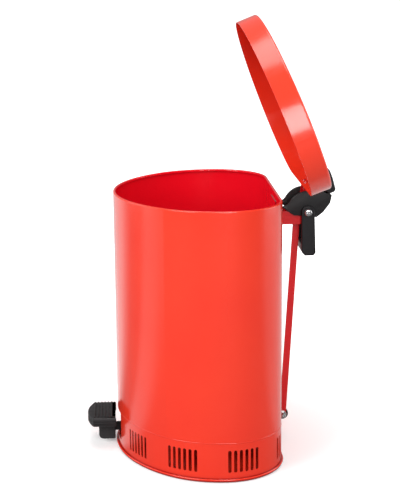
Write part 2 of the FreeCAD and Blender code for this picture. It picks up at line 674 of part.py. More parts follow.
def make_lid_arm():
    """Steel yoke riveted to the lid's back: two cheeks on the axle, with the crank pin's lobe."""
    body = new_body("lid_arm")
    y, z = HINGE_Y, HINGE_Z
    low, high = ARM_LOW, ARM_HIGH
    plate = new_sketch(body, "YZ_Plane", "0 - arm_outer")
    draw_box(plate, LID_BACK, low, LID_BACK + " + arm_plate_thickness", high)
    pad(body, plate, "2 * arm_outer")
    cheek = new_sketch(body, "YZ_Plane", "0 - arm_outer")
    draw_polygon(cheek, [
        (LID_BACK + " + arm_plate_thickness / 2", low),
        (y + " - arm_round * 0.2", z + " - arm_round * 0.97"),
        (y + " + arm_round * 0.5", z + " + arm_round * 0.86"),
        (LID_BACK + " + arm_plate_thickness / 2", high),
    ])
    pad(body, cheek, "2 * arm_outer")
    hub = new_sketch(body, "YZ_Plane", "0 - arm_outer")
    draw_circle(hub, y, z, "arm_round")
    pad(body, hub, "2 * arm_outer")
    lobe = new_sketch(body, "YZ_Plane", "0 - arm_outer")
    draw_circle(lobe, PIN_CLOSED_Y, PIN_CLOSED_Z, "crank_lobe_radius")
    pad(body, lobe, "2 * arm_outer")
    gap = new_sketch(body, "YZ_Plane", "arm_thickness - arm_outer")
    draw_box(gap, LID_BACK + " + arm_plate_thickness", z + " - 4 * arm_round", y + " + 4 * arm_round",
             z + " + 6 * arm_round")
    pocket(body, gap, "2 * (arm_outer - arm_thickness)")
    bore = new_sketch(body, "YZ_Plane", "0 - arm_outer - 1")
    draw_circle(bore, y, z, "axle_radius + bush_wall + press_gap")
    pocket(body, bore, "2 * arm_outer + 2")
    pin = new_sketch(body, "YZ_Plane", "0 - arm_outer - 1")
    draw_circle(pin, PIN_CLOSED_Y, PIN_CLOSED_Z, "crank_pin_radius + press_gap")
    pocket(body, pin, "2 * arm_outer + 2")
    cut_arm_rivet_holes(body, "(%s + arm_plate_thickness)" % LID_BACK, "arm_plate_thickness")
    lift(body)


def make_lid_rivets():
    """Rivets through the lid's skirt and the arm's plate, with their heads inside the lid."""
    rivet = turned_body("lid_rivets", [
        ("0", "0"), ("rivet_radius", "0"), ("rivet_radius", "lid_wall + arm_plate_thickness"),
        ("rivet_radius * 1.6", "lid_wall + arm_plate_thickness"),
        ("rivet_radius * 1.3", "lid_wall + arm_plate_thickness + rivet_head_height"),
        ("0", "lid_wall + arm_plate_thickness + rivet_head_height")])
    places = []
    for x, height in arm_rivet_spots():
        seat = Vector(value(x), value(LID_BACK + " + arm_plate_thickness"), value(height))
        places.append(LIFT.multiply(Placement(seat, Rotation(Vector(1, 0, 0), 90))))
    group("lid_rivets", rivet, places)


def make_crank_pin():
    head, half = "crank_pin_head", "(arm_outer + side_gap)"
    length = "crank_pin_head + 2 * " + half
    pin = turned_body("crank_pin", [
        ("0", "0"), ("crank_pin_radius + crank_pin_head", "0"),
        ("crank_pin_radius + crank_pin_head", head), ("crank_pin_radius", head),
        ("crank_pin_radius", length), ("0", length)])
    along_axis(pin, "0 - %s - %s" % (head, half), PIN_OPEN_Y, PIN_OPEN_Z)


def make_pin_spacers():
    """Sleeves that hold the push rod in place along the crank pin."""
    inner = "(arm_outer - arm_thickness)"
    near = "(%s - rod_side - rod_thickness - side_gap)" % inner
    far = "(%s + rod_side - side_gap)" % inner
    near_start = "rod_side + rod_thickness + side_gap"
    for label, length, start in (("pin_spacer_near", near, near_start),
                                 ("pin_spacer_far", far, "0 - " + inner)):
        sleeve = turned_body(label, tube_profile("crank_pin_radius + running_gap",
                                                 "crank_pin_radius + 2", "0", length))
        along_axis(sleeve, start, PIN_OPEN_Y, PIN_OPEN_Z)


def make_hood():
    """The cover on the lid's rear edge that closes over the hinge housing."""
    body = new_body("hinge_hood")
    y, z = HINGE_Y, HINGE_Z
    start = y + " - hood_inner_radius * 0.34 - hood_length"
    end = y + " - hood_inner_radius * 0.34"
    seat = LID_TOP
    arc = [(y + " - hood_inner_radius * %.3f" % math.cos(math.radians(a)),
            z + " + hood_inner_radius * %.3f" % math.sin(math.radians(a))) for a in (70, 62, 54)]
    sketch = new_sketch(body, "YZ_Plane", "0 - hood_half_width")
    draw_polygon(sketch, [
        (start, seat),
        (LID_BACK, seat),
        (LID_BACK, z + " + hood_inner_radius * 0.48"),
        (y + " - hood_inner_radius * 0.877", z + " + hood_inner_radius * 0.48"),
    ] + arc[::-1] + [
        (end, seat + " + hood_rise * 0.65"),
        (end + " - 3", seat + " + hood_rise * 0.86"),
        (end + " - hood_length * 0.45", seat + " + hood_rise"),
        (start + " + hood_length * 0.3", seat + " + hood_rise"),
        (start + " + hood_length * 0.1", seat + " + hood_rise * 0.82"),
        (start, seat + " + hood_rise * 0.6"),
    ])
    pad(body, sketch, "2 * hood_half_width")
    inside = new_sketch(body, "YZ_Plane", "hood_wall - hood_half_width")
    draw_polygon(inside, [
        (start + " + hood_wall", z),
        (y, z),
        (y, seat + " + hood_rise * 0.65 - hood_wall"),
        (end + " - 4", seat + " + hood_rise * 0.86 - hood_wall"),
        (end + " - hood_length * 0.45", seat + " + hood_rise - hood_wall"),
        (start + " + hood_length * 0.3", seat + " + hood_rise - hood_wall"),
        (start + " + hood_length * 0.1 + hood_wall * 0.5", seat + " + hood_rise * 0.82 - hood_wall"),
        (start + " + hood_wall", seat + " + hood_rise * 0.6 - hood_wall * 0.7"),
    ])
    pocket(body, inside, "2 * (hood_half_width - hood_wall)")
    lift(body)


# ---------------------------------------------------------------- push rod

def make_push_rod():
    """Flat bar with an eye at each end, from the lever's rear end to the crank pin."""
    body = new_body("push_rod")
    low_y, low_z, high_y, high_z = LEVER_END_Y, "lever_end_height", PIN_OPEN_Y, PIN_OPEN_Z
    half = "rod_width / 2"
    bar = new_sketch(body, "YZ_Plane", "rod_side")
    draw_polygon(bar, [
        (low_y + " - " + half, low_z), (low_y + " + " + half, low_z),
        (high_y + " + " + half, high_z), (high_y + " - " + half, high_z)])
    pad(body, bar, "rod_thickness")
    for y, z in ((low_y, low_z), (high_y, high_z)):
        eye = new_sketch(body, "YZ_Plane", "rod_side")
        draw_circle(eye, y, z, "rod_eye_radius")
        pad(body, eye, "rod_thickness")
    top = new_sketch(body, "YZ_Plane", "rod_side - 1")
    draw_circle(top, high_y, high_z, "crank_pin_radius + running_gap")
    pocket(body, top, "rod_thickness + 2")
    bottom = new_sketch(body, "YZ_Plane", "rod_side - 1")
    draw_circle(bottom, low_y, low_z, "bolt_radius + press_gap")
    pocket(body, bottom, "rod_thickness + 2")


def make_rod_bolt():
    head = "bolt_radius"
    head_side = "(lever_thickness / 2 + side_gap)"
    end = "rod_side + rod_thickness + bolt_end"
    bolt = turned_body("rod_bolt", [
        ("0", "0"), ("2 * bolt_radius", "0"), ("2 * bolt_radius", head),
        ("bolt_radius", head), ("bolt_radius", head + " + %s + %s" % (head_side, end)),
        ("0", head + " + %s + %s" % (head_side, end))])
    along_axis(bolt, "0 - %s - %s" % (head_side, head), LEVER_END_Y, "lever_end_height")


def make_rod_washer():
    washer = turned_body("rod_washer", tube_profile("bolt_radius + press_gap", "2.2 * bolt_radius",
                                                     "0", "washer_thickness"))
    along_axis(washer, "rod_side + rod_thickness", LEVER_END_Y, "lever_end_height")


def make_dome_nut():
    """Cap nut: hexagon with a domed, closed end."""
    body = new_body("dome_nut")
    across = "(2.1 * bolt_radius)"
    sketch = new_sketch(body, "XY_Plane")
    corners = []
    for count in range(6):
        angle = count * 60 + 30
        corners.append((across + " * cos(%d)" % angle, across + " * sin(%d)" % angle))
    draw_polygon(sketch, corners)
    pad(body, sketch, "1.5 * bolt_radius")
    dome = new_sketch(body, "XZ_Plane")
    draw_polygon(dome, [
        ("0", "1.4 * bolt_radius"), ("1.75 * bolt_radius", "1.4 * bolt_radius"),
        ("1.75 * bolt_radius", "2 * bolt_radius"), ("1.45 * bolt_radius", "2.7 * bolt_radius"),
        ("0.9 * bolt_radius", "3.15 * bolt_radius"), ("0", "3.3 * bolt_radius")])
    turn(body, dome)
    bore = new_sketch(body, "XY_Plane")
    draw_circle(bore, "0", "0", "bolt_radius + press_gap")
    pocket(body, bore, "2.2 * bolt_radius")
    along_axis(body, "rod_side + rod_thickness + washer_thickness", LEVER_END_Y, "lever_end_height")


# ---------------------------------------------------------------- pedal

def make_lever():
    """Flat bar on edge: pedal at the front, axle in the middle, slotted end at the rear."""
    body = new_body("pedal_lever")
    half = "lever_depth / 2"
    front = "(%s + block_front_inset + lever_inset)" % PAD_FRONT
    bar = new_sketch(body, "YZ_Plane", "0 - lever_thickness / 2")
    draw_polygon(bar, [
        (front, "lever_front_height - " + half), (PIVOT_Y, "lever_pivot_height - " + half),
        (LEVER_END_Y, "lever_end_height - " + half), (LEVER_END_Y, "lever_end_height + " + half),
        (PIVOT_Y, "lever_pivot_height + " + half), (front, "lever_front_height + " + half)])
    pad(body, bar, "lever_thickness")
    for y, z, radius in ((LEVER_END_Y, "lever_end_height", "lever_end_round"),
                         (PIVOT_Y, "lever_pivot_height", "lever_end_round + 1")):
        eye = new_sketch(body, "YZ_Plane", "0 - lever_thickness / 2")
        draw_circle(eye, y, z, radius)
        pad(body, eye, "lever_thickness")
    slot = new_sketch(body, "YZ_Plane", "0 - lever_thickness / 2 - 1")
    along, across = "(bolt_radius + slot_play_along)", "(bolt_radius + slot_play_across)"
    draw_box(slot, LEVER_END_Y + " - " + along, "lever_end_height - " + across,
             LEVER_END_Y + " + " + along, "lever_end_height + " + across)
    pocket(body, slot, "lever_thickness + 2")
    bore = new_sketch(body, "YZ_Plane", "0 - lever_thickness / 2 - 1")
    draw_circle(bore, PIVOT_Y, "lever_pivot_height", "lever_axle_radius + bush_wall + press_gap")
    pocket(body, bore, "lever_thickness + 2")
    for y in PEDAL_BOLTS:
        hole = new_sketch(body, "YZ_Plane", "0 - lever_thickness / 2 - 1")
        draw_circle(hole, y, "lever_front_height", "pedal_bolt_radius + press_gap")
        pocket(body, hole, "lever_thickness + 2")


def make_lever_axle():
    half = "(lever_bracket_inner + lever_bracket_thickness + lever_axle_end)"
    axle = turned_body("lever_axle", [
        ("0", "0"), ("lever_axle_radius", "0"), ("lever_axle_radius", "2 * " + half), ("0", "2 * " + half)])
    along_axis(axle, "0 - " + half, PIVOT_Y, "lever_pivot_height")
    bush_half = "(lever_bracket_inner - side_gap)"
    bush = turned_body("lever_bush", tube_profile("lever_axle_radius + running_gap",
                                                  "lever_axle_radius + bush_wall", "0", "2 * " + bush_half))
    along_axis(bush, "0 - " + bush_half, PIVOT_Y, "lever_pivot_height")


def make_lever_clips():
    """Retaining rings on the ends of the lever's axle."""
    clip = turned_body("lever_axle_clips", tube_profile(
        "lever_axle_radius + press_gap", "lever_axle_radius + clip_width", "0", "clip_thickness"))
    side = value("lever_bracket_inner + lever_bracket_thickness")
    y, z = value(PIVOT_Y), size("lever_pivot_height")
    places = [Placement(Vector(x, y, z), Rotation(Vector(0, 1, 0), 90))
              for x in (side, -side - size("clip_thickness"))]
    group("lever_axle_clips", clip, places)


def make_lever_brackets():
    """Two angle brackets on the base pan that carry the lever's axle."""
    for side, label in ((1, "lever_bracket_right"), (-1, "lever_bracket_left")):
        body = new_body(label)
        start = "lever_bracket_inner" if side > 0 else "0 - lever_bracket_inner - lever_bracket_thickness"
        web = new_sketch(body, "YZ_Plane", start)
        half = "lever_bracket_length / 2"
        draw_polygon(web, [
            (PIVOT_Y + " - " + half, "base_thickness"), (PIVOT_Y + " + " + half, "base_thickness"),
            (PIVOT_Y + " + lever_bracket_round * 0.9", "lever_pivot_height + lever_bracket_round * 0.43"),
            (PIVOT_Y + " - lever_bracket_round * 0.9", "lever_pivot_height + lever_bracket_round * 0.43")])
        pad(body, web, "lever_bracket_thickness")
        top = new_sketch(body, "YZ_Plane", start)
        draw_circle(top, PIVOT_Y, "lever_pivot_height", "lever_bracket_round")
        pad(body, top, "lever_bracket_thickness")
        foot = new_sketch(body, "XY_Plane", "base_thickness")
        near = "%d * lever_bracket_inner" % side
        far = "%d * (lever_bracket_inner + lever_bracket_thickness + lever_bracket_foot)" % side
        left, right = (near, far) if side > 0 else (far, near)
        draw_box(foot, left, PIVOT_Y + " - " + half, right, PIVOT_Y + " + " + half)
        pad(body, foot, "lever_bracket_thickness")
        bore = new_sketch(body, "YZ_Plane", start + " - 1")
        draw_circle(bore, PIVOT_Y, "lever_pivot_height", "lever_axle_radius + press_gap")
        pocket(body, bore, "lever_bracket_thickness + 2")


def make_pedal_pad():
    """Ribbed tread with a bowed front, whose two rear wings reach towards the can."""
    body = new_body("pedal_pad")
    sketch = new_sketch(body, "XY_Plane", "pad_bottom")
    draw_bowed_box(sketch, "pad_half_width", PAD_FRONT, "pad_front_bow", "(0 - can_front_depth * 0.8)")
    pad(body, sketch, "pad_thickness")
    shoulder = value(PAD_FRONT + " + pad_front_bow")
    round_edges(body, lambda e: e.BoundBox.ZLength > 1 and abs(middle(e).y - shoulder) < 0.01, "pad_round")
    tread_end = value("%s + pad_depth * 0.6" % PAD_FRONT)
    for height in (PAD_TOP, "pad_bottom"):
        round_edges(body, lambda e: level(height)(e) and middle(e).y < tread_end, "pad_edge_round")
    ribs = new_sketch(body, "XY_Plane", PAD_TOP + " - 1")
    count = int(value("(pad_depth - pad_front_bow - rib_width) / rib_pitch"))
    for number in range(count):
        start = "(%s + pad_front_bow + %d * rib_pitch)" % (PAD_FRONT, number)
        draw_box(ribs, "rib_side_margin - pad_half_width", start,
                 "pad_half_width - rib_side_margin", start + " + rib_width")
    pad(body, ribs, "1 + rib_height")
    back = new_sketch(body, "XY_Plane", "pad_bottom - 1")
    draw_plan(back, "0 - pad_gap")
    pocket(body, back, "pad_thickness + 10")
    notch = new_sketch(body, "XY_Plane", "pad_bottom - 1")
    inner = "(pad_half_width - pad_wing_width)"
    draw_box(notch, "0 - " + inner, "0 - can_front_depth - pad_gap - pad_notch",
             inner, "0 - can_front_depth * 0.8")
    pocket(body, notch, "pad_thickness + 10")


def make_pedal_block():
    """The boss under the pad that grips the lever and meets the floor when pressed."""
    body = new_body("pedal_block")
    front = "(%s + block_front_inset)" % PAD_FRONT
    rear = "(0 - can_front_depth - block_rear_gap)"
    sketch = new_sketch(body, "YZ_Plane", "0 - block_half_width")
    draw_box(sketch, front, "block_bottom", rear, "pad_bottom")
    pad(body, sketch, "2 * block_half_width")
    round_edges(body, along_x_near([(front, "block_bottom")]), "block_round")
    slot = new_sketch(body, "YZ_Plane", "0 - lever_thickness / 2 - press_gap")
    half = "lever_depth / 2 + press_gap"
    draw_box(slot, front + " + lever_inset - press_gap", "lever_front_height - %s - 0.5" % half,
             "0 - can_front_depth * 0.8", "lever_front_height + %s + 1.5" % half)
    pocket(body, slot, "lever_thickness + 2 * press_gap")
    for y in PEDAL_BOLTS:
        hole = new_sketch(body, "YZ_Plane", "0 - block_half_width - 1")
        draw_circle(hole, y, "lever_front_height", "pedal_bolt_radius + press_gap")
        pocket(body, hole, "2 * block_half_width + 2")


def make_pedal_bolts():
    """Cross bolts that clamp the block onto the lever."""
    bolt = turned_body("pedal_bolts", [
        ("0", "0"), ("2 * pedal_bolt_radius", "0"), ("2 * pedal_bolt_radius", "pedal_bolt_head"),
        ("pedal_bolt_radius", "pedal_bolt_head"),
        ("pedal_bolt_radius", "pedal_bolt_head + 2 * block_half_width"),
        ("0", "pedal_bolt_head + 2 * block_half_width")])
    x, z = value("0 - block_half_width - pedal_bolt_head"), size("lever_front_height")
    places = [Placement(Vector(x, value(y), z), Rotation(Vector(0, 1, 0), 90)) for y in PEDAL_BOLTS]
    group("pedal_bolts", bolt, places)


# ---------------------------------------------------------------- carry handle

def make_handle():
    body = new_body("carry_handle")
    y, z = HINGE_Y, HINGE_Z
    half = "handle_arm_width / 2"
    side = new_sketch(body, "YZ_Plane", "0 - handle_half_width")
    draw_polygon(side, [
        (y + " + " + half, z), (y + " - " + half + " + 0.5", z),
        (y + " - grip_front", z + " - handle_drop + grip_thickness * 0.35"),
        (y + " - grip_front + grip_thickness * 0.3", z + " - handle_drop"),
        (y + " + grip_rear - grip_thickness * 0.2", z + " - handle_drop"),
        (y + " + grip_rear", z + " - handle_drop + grip_thickness * 0.25"),
    ])
    pad(body, side, "2 * handle_half_width")
    top = new_sketch(body, "YZ_Plane", "0 - handle_half_width")
    draw_circle(top, y, z, half)
    pad(body, top, "2 * handle_half_width")
    gap = new_sketch(body, "YZ_Plane", "handle_arm_thickness - handle_half_width")
    draw_box(gap, y + " - 2 * handle_arm_width", z + " - handle_drop + grip_thickness",
             y + " + 2 * handle_arm_width", z + " + handle_arm_width")
    pocket(body, gap, "2 * (handle_half_width - handle_arm_thickness)")
    bore = new_sketch(body, "YZ_Plane", "0 - handle_half_width - 1")
    draw_circle(bore, y, z, "axle_radius + running_gap")
    pocket(body, bore, "2 * handle_half_width + 2")


def make_handle_screws():
    screw = turned_body("handle_screws", [
        ("0", "0 - screw_length + 2"), ("screw_radius", "0 - screw_length + 2"), ("screw_radius", "0"),
        ("screw_head_radius", "0"), ("screw_head_radius", "screw_head_height * 0.45"),
        ("screw_head_radius * 0.8", "screw_head_height * 0.85"),
        ("screw_head_radius * 0.4", "screw_head_height"), ("0", "screw_head_height")])
    recess = new_sketch(screw, "XY_Plane", "screw_head_height * 0.4")
    arm, half = "screw_head_radius * 0.5", "screw_head_radius * 0.11"
    draw_polygon(recess, [
        ("0 - " + arm, "0 - " + half), ("0 - " + half, "0 - " + half), ("0 - " + half, "0 - " + arm),
        (half, "0 - " + arm), (half, "0 - " + half), (arm, "0 - " + half), (arm, half), (half, half),
        (half, arm), ("0 - " + half, arm), ("0 - " + half, half), ("0 - " + arm, half)])
    pocket(screw, recess, "screw_head_height")
    end = value("handle_half_width + side_gap")
    y, z = value(HINGE_Y), value(HINGE_Z)
    places = [Placement(Vector(end, y, z), Rotation(Vector(0, 1, 0), 90)),
              Placement(Vector(-end, y, z), Rotation(Vector(0, 1, 0), -90))]
    group("handle_screws", screw, places)


make_can()
make_base_pan()
make_raised_floor()
make_hinge_bracket()
make_rivets()
make_backing_plate()
make_hinge_axle()
make_axle_spacers()
make_hinge_housing()
make_lid()
make_lid_arm()
make_arm_bushes()
make_lid_rivets()
make_lid_buffers()
make_crank_pin()
make_pin_spacers()
make_hood()
make_push_rod()
make_rod_bolt()
make_rod_washer()
make_dome_nut()
make_lever()
make_lever_axle()
make_lever_clips()
make_lever_brackets()
make_pedal_pad()
make_pedal_block()
make_pedal_bolts()
make_handle()
make_handle_screws()

doc.recompute()
for thing in doc.Objects:
    if "Invalid" in thing.State or "Error" in thing.State:
        raise RuntimeError("%s did not recompute: %s" % (thing.Label, thing.State))
os.makedirs("parts", exist_ok=True)
for thing in NODES:
    shape = thing.Shape
    if shape.isNull() or not shape.isValid():
        raise RuntimeError("%s has no valid shape" % thing.Label)
    shape.exportStep("parts/%s.step" % thing.Label)
    box = shape.BoundBox
    print("%-22s %d solid  %9.1f mm3  x %.1f..%.1f y %.1f..%.1f z %.1f..%.1f" % (
        thing.Label, len(shape.Solids), shape.Volume,
        box.XMin, box.XMax, box.YMin, box.YMax, box.ZMin, box.ZMax))
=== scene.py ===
import bpy
import bmesh
import math
from mathutils import Matrix, Vector


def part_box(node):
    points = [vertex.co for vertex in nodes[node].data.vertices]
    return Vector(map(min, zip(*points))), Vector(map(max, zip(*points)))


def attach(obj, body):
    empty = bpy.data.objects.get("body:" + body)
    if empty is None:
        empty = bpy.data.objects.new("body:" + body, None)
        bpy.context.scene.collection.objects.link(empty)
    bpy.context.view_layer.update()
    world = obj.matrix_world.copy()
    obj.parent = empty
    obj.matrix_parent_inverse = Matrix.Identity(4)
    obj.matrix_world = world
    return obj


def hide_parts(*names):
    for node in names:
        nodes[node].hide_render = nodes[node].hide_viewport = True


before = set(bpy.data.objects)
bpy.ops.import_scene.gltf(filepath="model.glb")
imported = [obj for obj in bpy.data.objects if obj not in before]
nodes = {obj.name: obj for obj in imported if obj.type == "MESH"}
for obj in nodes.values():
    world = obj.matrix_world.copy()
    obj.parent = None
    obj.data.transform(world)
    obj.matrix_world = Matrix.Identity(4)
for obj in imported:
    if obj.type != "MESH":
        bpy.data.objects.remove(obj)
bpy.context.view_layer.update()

scene = bpy.context.scene
mm = 0.001
axleLow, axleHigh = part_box("hinge_axle")
hingeY, hingeZ = (axleLow.y + axleHigh.y) / 2 / mm, (axleLow.z + axleHigh.z) / 2 / mm

# camera

cameraSetup = {
    "place": (2.11053, -0.15556, 0.80823), "aim": (0.01787, -0.02989, 0.33129),
    "lens": 94.48, "roll": -0.49,
}


def makeCamera(setup):
    data = bpy.data.cameras.new("binCamera")
    data.lens = setup["lens"]
    data.sensor_width = 36
    data.clip_start = 0.1
    data.clip_end = 60
    cam = bpy.data.objects.new("binCamera", data)
    scene.collection.objects.link(cam)
    look = Vector(setup["aim"]) - Vector(setup["place"])
    turn = look.to_track_quat("-Z", "Y").to_matrix().to_4x4()
    roll = Matrix.Rotation(math.radians(setup["roll"]), 4, "Z")
    cam.matrix_world = Matrix.Translation(setup["place"]) @ turn @ roll
    scene.camera = cam


makeCamera(cameraSetup)
print("camera ready")

# node helpers for the finishes


def newMaterial(name):
    mat = bpy.data.materials.new(name)
    mat.use_nodes = True
    tree = mat.node_tree
    shader = tree.nodes["Principled BSDF"]
    return mat, tree, shader


def addNode(tree, kind, inputs=None, **settings):
    node = tree.nodes.new(kind)
    for key, val in settings.items():
        setattr(node, key, val)
    for key, val in (inputs or {}).items():
        if isinstance(val, bpy.types.NodeSocket):
            tree.links.new(val, node.inputs[key])
        else:
            node.inputs[key].default_value = val
    return node


def mixColour(tree, factor, a, b):
    # colour sockets of the mix node: 0 is the factor, 6 and 7 go in, 2 comes out
    mix = addNode(tree, "ShaderNodeMix", data_type="RGBA")
    for socket, val in ((0, factor), (6, a), (7, b)):
        if isinstance(val, bpy.types.NodeSocket):
            tree.links.new(val, mix.inputs[socket])
        else:
            mix.inputs[socket].default_value = val
    return mix.outputs[2]


def ramp(tree, source, low, high, outLow=0.0, outHigh=1.0):
    node = addNode(tree, "ShaderNodeMapRange", {
        "Value": source, "From Min": low, "From Max": high, "To Min": outLow, "To Max": outHigh,
    })
    return node.outputs["Result"]


def noise(tree, where, scale, detail=3.0, roughness=0.5):
    settings = {"Vector": where, "Scale": scale, "Detail": detail, "Roughness": roughness}
    return addNode(tree, "ShaderNodeTexNoise", settings).outputs["Fac"]


def place(tree, stretch=(1, 1, 1)):
    coord = addNode(tree, "ShaderNodeTexCoord")
    mapping = addNode(tree, "ShaderNodeMapping", {"Vector": coord.outputs["Object"], "Scale": stretch})
    return mapping.outputs["Vector"]


def paintedCornerShade(tree, reach):
    # painted shade: 0 in tight corners and seams, 1 in the open; the finishes mix towards a dark copy of their
    # colour where it is low
    node = addNode(tree, "ShaderNodeAmbientOcclusion", {"Distance": reach}, samples=8)
    return ramp(tree, node.outputs["AO"], 0.35, 0.95)


# dark colours for the painted shade in corners and seams
cornerShadeRed = (0.22, 0.002, 0.004, 1)
cornerShadeBlack = (0.001, 0.001, 0.001, 1)


def paint(name, colour, shade, insideColour=None):
    mat, tree, shader = newMaterial(name)
    at = place(tree)
    mottle = ramp(tree, noise(tree, at, 9.0), 0.35, 0.65)
    base = mixColour(tree, mottle, (*colour, 1), (*shade, 1))
    if insideColour:
        # faces that look towards the can's middle take the darker inside red
        geo = addNode(tree, "ShaderNodeNewGeometry")
        flat = addNode(tree, "ShaderNodeVectorMath",
                       {0: geo.outputs["Position"], 1: (1, 1, 0)}, operation="MULTIPLY")
        facing = addNode(tree, "ShaderNodeVectorMath",
                         {0: flat.outputs[0], 1: geo.outputs["Normal"]}, operation="DOT_PRODUCT")
        inside = ramp(tree, facing.outputs["Value"], 0.0, -0.02)
        base = mixColour(tree, inside, base, (*insideColour, 1))
    # painted shade: the red goes dark in corners, seams and under rims and edges
    base = mixColour(tree, paintedCornerShade(tree, 0.006), cornerShadeRed, base)
    tree.links.new(base, shader.inputs["Base Color"])
    gloss = ramp(tree, noise(tree, at, 30.0), 0.3, 0.7, 0.15, 0.21)
    tree.links.new(gloss, shader.inputs["Roughness"])
    peel = noise(tree, at, 420.0, 2.0)
    bump = addNode(tree, "ShaderNodeBump", {"Height": peel, "Strength": 0.03, "Distance": 0.0003})
    tree.links.new(bump.outputs["Normal"], shader.inputs["Normal"])
    shader.inputs["Coat Weight"].default_value = 0.25
    shader.inputs["Coat Roughness"].default_value = 0.12
    return mat


def plastic(name, colour, shade, roughness, grain=900.0):
    mat, tree, shader = newMaterial(name)
    at = place(tree)
    mottle = ramp(tree, noise(tree, at, 60.0), 0.3, 0.7)
    base = mixColour(tree, mottle, (*colour, 1), (*shade, 1))
    # painted shade: the black goes darker in corners, seams and recesses
    base = mixColour(tree, paintedCornerShade(tree, 0.004), cornerShadeBlack, base)
    tree.links.new(base, shader.inputs["Base Color"])
    shader.inputs["Specular IOR Level"].default_value = 0.32
    rough = ramp(tree, noise(tree, at, 160.0), 0.3, 0.7, roughness - 0.05, roughness + 0.06)
    tree.links.new(rough, shader.inputs["Roughness"])
    height = noise(tree, at, grain, 2.0)
    bump = addNode(tree, "ShaderNodeBump", {"Height": height, "Strength": 0.18, "Distance": 0.0003})
    tree.links.new(bump.outputs["Normal"], shader.inputs["Normal"])
    return mat


def metal(name, colour, shade, roughness):
    mat, tree, shader = newMaterial(name)
    at = place(tree, (1, 1, 0.12))
    streak = noise(tree, at, 700.0, 3.0)
    base = mixColour(tree, ramp(tree, streak, 0.3, 0.7), (*colour, 1), (*shade, 1))
    tree.links.new(base, shader.inputs["Base Color"])
    tree.links.new(ramp(tree, streak, 0.3, 0.7, roughness - 0.06, roughness + 0.08), shader.inputs["Roughness"])
    shader.inputs["Metallic"].default_value = 1.0
    bump = addNode(tree, "ShaderNodeBump", {"Height": streak, "Strength": 0.08, "Distance": 0.0002})
    tree.links.new(bump.outputs["Normal"], shader.inputs["Normal"])
    return mat


finishes = {
    "red_paint_body": paint("redPaintBody", (0.80, 0.036, 0.012), (0.78, 0.031, 0.011), (0.72, 0.004, 0.014)),
    "red_paint_inside": paint("redPaintInside", (0.74, 0.006, 0.018), (0.70, 0.005, 0.016)),
    "red_paint_lid": paint("redPaintLid", (0.82, 0.042, 0.016), (0.80, 0.038, 0.015)),
    "red_paint_bracket": paint("redPaintBracket", (0.60, 0.004, 0.008), (0.54, 0.003, 0.007)),
    "black_paint_steel": plastic("blackPaintSteel", (0.008, 0.008, 0.009), (0.011, 0.011, 0.012), 0.35),
    "zinc_steel": metal("zincSteel", (0.62, 0.62, 0.60), (0.52, 0.52, 0.51), 0.38),
    "bright_steel": metal("brightSteel", (0.46, 0.46, 0.47), (0.34, 0.34, 0.35), 0.24),
    "black_plastic": plastic("blackPlastic", (0.007, 0.007, 0.008), (0.010, 0.010, 0.011), 0.42),
    "black_plastic_hood": plastic("blackPlasticHood", (0.007, 0.007, 0.008), (0.010, 0.010, 0.011), 0.42),
    "black_handle": plastic("blackHandle", (0.006, 0.006, 0.008), (0.009, 0.009, 0.011), 0.36),
    "black_pedal": plastic("blackPedal", (0.014, 0.013, 0.014), (0.020, 0.019, 0.020), 0.45, 700.0),
    "black_rubber": plastic("blackRubber", (0.02, 0.02, 0.02), (0.03, 0.03, 0.03), 0.7, 1200.0),
    "nylon": plastic("nylon", (0.75, 0.73, 0.66), (0.68, 0.66, 0.60), 0.4, 1200.0),
}

for name, piece in nodes.items():
    slots = piece.data.materials
    for index in range(len(slots)):
        slots[index] = finishes[slots[index].name.split(".")[0]]
print("finishes on", len(nodes), "CAD pieces")

# mesh helpers: outlines are lists of (u, v) in mm, anticlockwise

def area(loop):
    return sum(a[0] * b[1] - b[0] * a[1] for a, b in zip(loop, loop[1:] + loop[:1])) / 2


def roundCorners(points, radii, steps=5):
    # swaps each corner for an arc, cut short where the edges are short
    out = []
    count = len(points)
    for i, corner in enumerate(points):
        r = radii[i] if isinstance(radii, (list, tuple)) else radii
        p = Vector(corner)
        a, b = Vector(points[i - 1]) - p, Vector(points[(i + 1) % count]) - p
        angle = a.angle(b)
        straight = angle > 3.05
        cut = 0.0 if straight else min(r / math.tan(angle / 2), a.length * 0.45, b.length * 0.45)
        if cut < 0.05:
            out.append(tuple(p))
            continue
        start, end = p + a.normalized() * cut, p + b.normalized() * cut
        for step in range(steps + 1):
            t = step / steps
            point = start.lerp(p, t).lerp(p.lerp(end, t), t)
            out.append(tuple(point))
    return out


def insetLoop(loop, depth):
    # moves each edge inwards by depth; the floor of 0.35 keeps sharp corners from running off
    out = []
    count = len(loop)
    for i, corner in enumerate(loop):
        p, before, after = Vector(corner), Vector(loop[i - 1]), Vector(loop[(i + 1) % count])
        a, b = (p - before).normalized(), (after - p).normalized()
        n = Vector((-a.y, a.x)) + Vector((-b.y, b.x))
        n = n / max(1.0 + a.dot(b), 0.35)
        out.append(tuple(p + n * depth))
    return out


def loft(bm, loop, levels, axis="X"):
    # stacks copies of one outline along an axis, each level (place, inset), and caps both ends
    if area(loop) < 0:
        loop = loop[::-1]
    rings = []
    for along, depth in levels:
        ring = []
        for u, v in insetLoop(loop, depth):
            spot = (along, u, v) if axis == "X" else (u, v, along)
            ring.append(bm.verts.new(Vector(spot) * mm))
        rings.append(ring)
    made = []
    for low, high in zip(rings, rings[1:]):
        for i in range(len(low)):
            j = (i + 1) % len(low)
            made.append(bm.faces.new((low[i], low[j], high[j], high[i])))
    made.append(bm.faces.new(rings[0][::-1]))
    made.append(bm.faces.new(rings[-1]))
    return made


def softEnds(start, end, radius):
    # levels of a prism with both ends rounded over
    turns = [i * math.pi / 8 for i in range(5)]
    low = [(start + radius * (1 - math.sin(t)), radius * (1 - math.cos(t))) for t in reversed(turns)]
    high = [(end - radius * (1 - math.sin(t)), radius * (1 - math.cos(t))) for t in turns]
    return low + high


